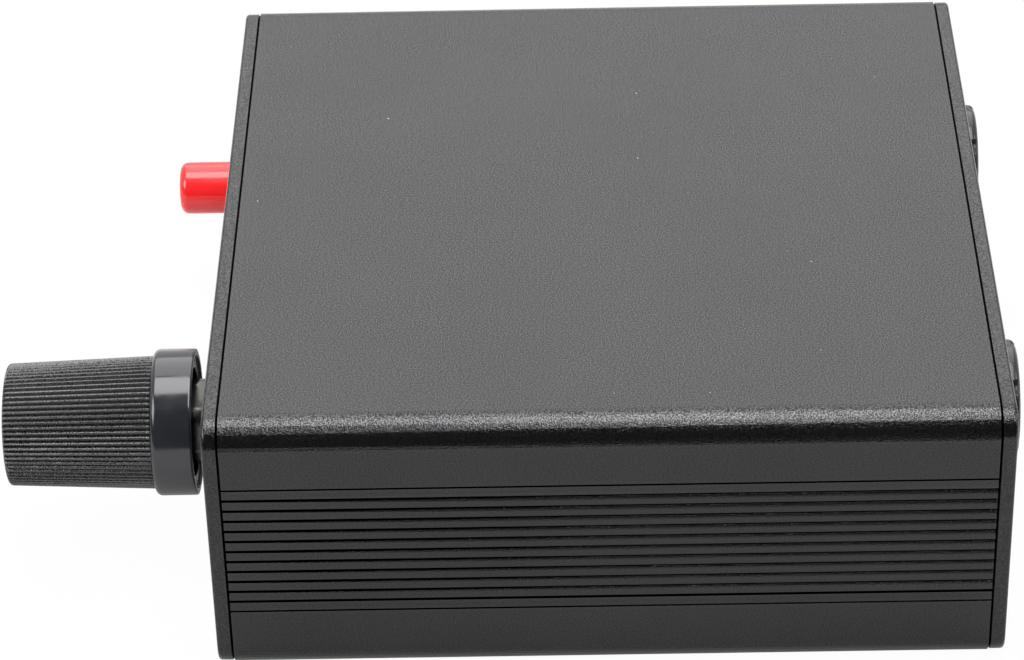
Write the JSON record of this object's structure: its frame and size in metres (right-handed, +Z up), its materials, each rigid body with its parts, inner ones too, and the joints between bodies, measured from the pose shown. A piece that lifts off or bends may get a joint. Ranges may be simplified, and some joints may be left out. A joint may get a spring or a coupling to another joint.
{
  "type": "guitar preamplifier",
  "caption": "Small black metal preamplifier box with ribbed sides, a fluted volume knob, a red push switch, rear jack sockets and a power inlet.",
  "frame": {"origin": "centre of the housing's flat underside", "axes": "+X to the right-hand side, -Y to the front plate with the knob, +Z up"},
  "size_m": [0.096, 0.1233, 0.036],
  "materials": {
    "anodised_body": "sandblasted black anodising",
    "anodised_plate": "sandblasted black anodising",
    "black_steel": "blackened steel",
    "board": "green solder resist",
    "zinc": "die-cast, plated",
    "phenolic": "brown laminate",
    "tinned": "tinned",
    "plated_steel": "plated",
    "inner_plastic": "moulded",
    "bright_metal": "bright plating",
    "knob_plastic": "moulded, satin ribs and a glossy skirt",
    "red_plastic": "glossy",
    "spring_brass": "bright",
    "jack_plastic": "moulded",
    "can_sleeve": "shrunk sleeve",
    "film_box": "moulded",
    "resistor_body": "lacquered"
  },
  "bodies": {
    "case": {"housing": "anodised_body", "front_plate": "anodised_plate", "rear_plate": "anodised_plate", "front_screws": "black_steel", "rear_screws": "black_steel", "circuit_board": "board", "pot_bushing": "zinc", "pot_wafer": "phenolic", "pot_lugs": "tinned", "pot_cover": "plated_steel", "pot_washer": "bright_metal", "pot_nut": "bright_metal", "switch_pins": "tinned", "switch_body": "inner_plastic", "switch_spring": "plated_steel", "input_jack_body": "jack_plastic", "input_jack_tip_contact": "spring_brass", "input_jack_sleeve_contact": "spring_brass", "input_jack_washer": "bright_metal", "input_jack_nut": "jack_plastic", "output_jack_body": "jack_plastic", "output_jack_tip_contact": "spring_brass", "output_jack_sleeve_contact": "spring_brass", "output_jack_washer": "bright_metal", "output_jack_nut": "jack_plastic", "dc_socket_body": "jack_plastic", "dc_socket_pin": "bright_metal", "dc_socket_spring": "spring_brass", "preamp_chip": "inner_plastic", "chip_legs": "tinned", "filter_capacitors": "can_sleeve", "coupling_capacitors": "film_box", "resistors": "resistor_body", "component_leads": "tinned"},
    "volume_dial": {"knob": "knob_plastic", "pot_shaft": "plated_steel", "pot_wiper": "inner_plastic"},
    "push_button": {"button_cap": "red_plastic", "switch_plunger": "inner_plastic", "switch_bridge": "spring_brass"}
  },
  "joints": [
    {"name": "volume_turn", "type": "hinge", "parent": "case", "child": "volume_dial", "pos_m": [0.0217, -0.0505, 0.018], "axis": [0, -1, 0], "range_deg": [-150, 150]},
    {"name": "button_push", "type": "slide", "parent": "case", "child": "push_button", "axis": [0, 1, 0], "range_m": [0, 0.0025], "stiffness_N_per_m": 600, "springref_m": -0.002, "deforming": ["switch_spring"]}
  ]
}
